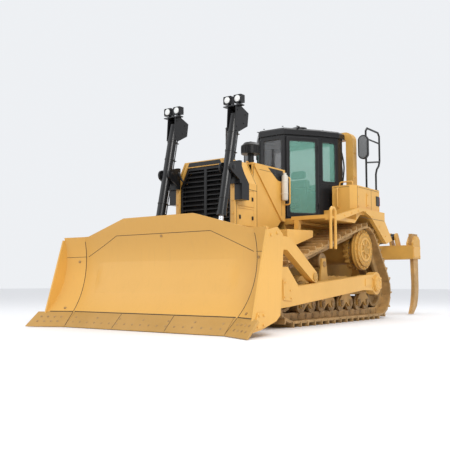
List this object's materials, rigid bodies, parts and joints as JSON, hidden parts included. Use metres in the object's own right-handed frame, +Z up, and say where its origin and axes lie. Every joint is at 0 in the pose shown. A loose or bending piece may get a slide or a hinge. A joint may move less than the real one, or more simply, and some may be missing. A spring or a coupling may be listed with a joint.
{
  "type": "crawler bulldozer",
  "caption": "Large crawler bulldozer with raised rear sprockets, a curved blade on push arms, a cab under a rollover arch and a rear ripper.",
  "frame": {"origin": "on the ground, under the middle of the machine's length and width", "axes": "+Z up, the blade faces -Y, +X is the machine's left side"},
  "size_m": [4.024, 7.7442, 3.519],
  "materials": {
    "yellow_paint": "weathered",
    "dark_paint": "satin",
    "track_steel": "dusty",
    "worn_steel": "worn",
    "chrome_rod": "polished",
    "tinted_glass": "tinted",
    "lamp_glass": "clear",
    "seat_fabric": "woven",
    "dark_plastic": "matte"
  },
  "bodies": {
    "chassis": {"track_left": "track_steel", "track_right": "track_steel", "idlers": "track_steel", "rollers": "track_steel", "track_frames": "yellow_paint", "final_drives": "yellow_paint", "main_frame": "yellow_paint", "engine_block": "dark_paint", "radiator_guard": "yellow_paint", "grille": "dark_paint", "hood": "yellow_paint", "exhaust_stack": "dark_paint", "precleaner": "dark_paint", "cab_frame": "dark_paint", "cab_glass": "tinted_glass", "cab_roof": "dark_paint", "operator_seat": "seat_fabric", "consoles": "dark_plastic", "rops_frame": "yellow_paint", "fenders": "yellow_paint", "side_tanks": "yellow_paint", "fuel_tank": "yellow_paint", "guard_rails": "dark_paint", "step_hoops": "dark_paint", "work_lamps": "lamp_glass", "cylinder_yokes": "yellow_paint", "ripper_mount": "yellow_paint"},
    "blade": {"blade": "yellow_paint", "cutting_edge": "worn_steel", "push_arms": "yellow_paint", "blade_braces": "yellow_paint"},
    "ripper_link": {"ripper_link": "yellow_paint"},
    "ripper_beam": {"ripper_beam": "yellow_paint", "ripper_shanks": "worn_steel"},
    "lift_barrel_left": {"lift_barrel_left": "dark_paint", "lamp_bracket_left": "dark_paint"},
    "lift_rod_left": {"lift_rod_left": "chrome_rod"},
    "ripper_tilt_left": {"ripper_tilt_cylinder_left": "dark_paint"},
    "ripper_barrel_left": {"ripper_lift_barrel_left": "dark_paint"},
    "ripper_rod_left": {"ripper_lift_rod_left": "chrome_rod"},
    "door_left": {"cab_door_left": "dark_paint", "door_glass_left": "tinted_glass"},
    "lift_barrel_right": {"lift_barrel_right": "dark_paint", "lamp_bracket_right": "dark_paint"},
    "lift_rod_right": {"lift_rod_right": "chrome_rod"},
    "ripper_tilt_right": {"ripper_tilt_cylinder_right": "dark_paint"},
    "ripper_barrel_right": {"ripper_lift_barrel_right": "dark_paint"},
    "ripper_rod_right": {"ripper_lift_rod_right": "chrome_rod"},
    "door_right": {"cab_door_right": "dark_paint", "door_glass_right": "tinted_glass"}
  },
  "joints": [
    {"name": "blade_lift", "type": "hinge", "parent": "chassis", "child": "blade", "pos_m": [0, 0.83, 0.65], "axis": [-1, 0, 0], "range_deg": [-7.5, 16.5]},
    {"name": "ripper_lift", "type": "hinge", "parent": "chassis", "child": "ripper_link", "pos_m": [0, 2.31, 0.76], "axis": [1, 0, 0], "range_deg": [-30, 30]},
    {"name": "ripper_beam_level", "type": "hinge", "parent": "ripper_link", "child": "ripper_beam", "pos_m": [0, 3.3795, 0.94858], "axis": [1, 0, 0], "range_deg": [-31, 31]},
    {"name": "lift_barrel_swing_left", "type": "hinge", "parent": "chassis", "child": "lift_barrel_left", "pos_m": [0.6, -2.31, 2.36], "axis": [-1, 0, 0], "range_deg": [-4, 8]},
    {"name": "lift_rod_slide_left", "type": "slide", "parent": "lift_barrel_left", "child": "lift_rod_left", "axis": [0, -0.2102, -0.9776], "range_m": [-1.01, 0.47]},
    {"name": "ripper_tilt_swing_left", "type": "hinge", "parent": "chassis", "child": "ripper_tilt_left", "pos_m": [0.808, 2.31, 1.44], "axis": [1, 0, 0], "range_deg": [-31, 31]},
    {"name": "ripper_barrel_swing_left", "type": "hinge", "parent": "chassis", "child": "ripper_barrel_left", "pos_m": [0.62, 2.05, 1.65], "axis": [1, 0, 0], "range_deg": [-15, 15]},
    {"name": "ripper_rod_slide_left", "type": "slide", "parent": "ripper_barrel_left", "child": "ripper_rod_left", "axis": [0, 0.8311, -0.5561], "range_m": [-0.32, 0.32]},
    {"name": "cab_door_left", "type": "hinge", "parent": "chassis", "child": "door_left", "pos_m": [0.66753, 0.36321, 2.54], "axis": [0, 0, 1], "range_deg": [0, 90]},
    {"name": "lift_barrel_swing_right", "type": "hinge", "parent": "chassis", "child": "lift_barrel_right", "pos_m": [-0.6, -2.31, 2.36], "axis": [-1, 0, 0], "range_deg": [-4, 8]},
    {"name": "lift_rod_slide_right", "type": "slide", "parent": "lift_barrel_right", "child": "lift_rod_right", "axis": [0, -0.2102, -0.9776], "range_m": [-1.01, 0.47]},
    {"name": "ripper_tilt_swing_right", "type": "hinge", "parent": "chassis", "child": "ripper_tilt_right", "pos_m": [-0.808, 2.31, 1.44], "axis": [1, 0, 0], "range_deg": [-31, 31]},
    {"name": "ripper_barrel_swing_right", "type": "hinge", "parent": "chassis", "child": "ripper_barrel_right", "pos_m": [-0.62, 2.05, 1.65], "axis": [1, 0, 0], "range_deg": [-15, 15]},
    {"name": "ripper_rod_slide_right", "type": "slide", "parent": "ripper_barrel_right", "child": "ripper_rod_right", "axis": [0, 0.8311, -0.5561], "range_m": [-0.32, 0.32]},
    {"name": "cab_door_right", "type": "hinge", "parent": "chassis", "child": "door_right", "pos_m": [-0.66753, 0.36321, 2.54], "axis": [0, 0, -1], "range_deg": [0, 90]}
  ],
  "couplings": [
    {"joint": "ripper_beam_level", "follows": "ripper_lift", "ratio": -1},
    {"joint": "lift_barrel_swing_left", "follows": "blade_lift", "ratio": 0.45},
    {"joint": "lift_rod_slide_left", "follows": "blade_lift", "m_per_rad": -3.46},
    {"joint": "ripper_tilt_swing_left", "follows": "ripper_lift", "ratio": 1},
    {"joint": "ripper_barrel_swing_left", "follows": "ripper_lift", "ratio": 0.463},
    {"joint": "ripper_rod_slide_left", "follows": "ripper_lift", "m_per_rad": -0.588},
    {"joint": "lift_barrel_swing_right", "follows": "blade_lift", "ratio": 0.45},
    {"joint": "lift_rod_slide_right", "follows": "blade_lift", "m_per_rad": -3.46},
    {"joint": "ripper_tilt_swing_right", "follows": "ripper_lift", "ratio": 1},
    {"joint": "ripper_barrel_swing_right", "follows": "ripper_lift", "ratio": 0.463},
    {"joint": "ripper_rod_slide_right", "follows": "ripper_lift", "m_per_rad": -0.588}
  ]
}
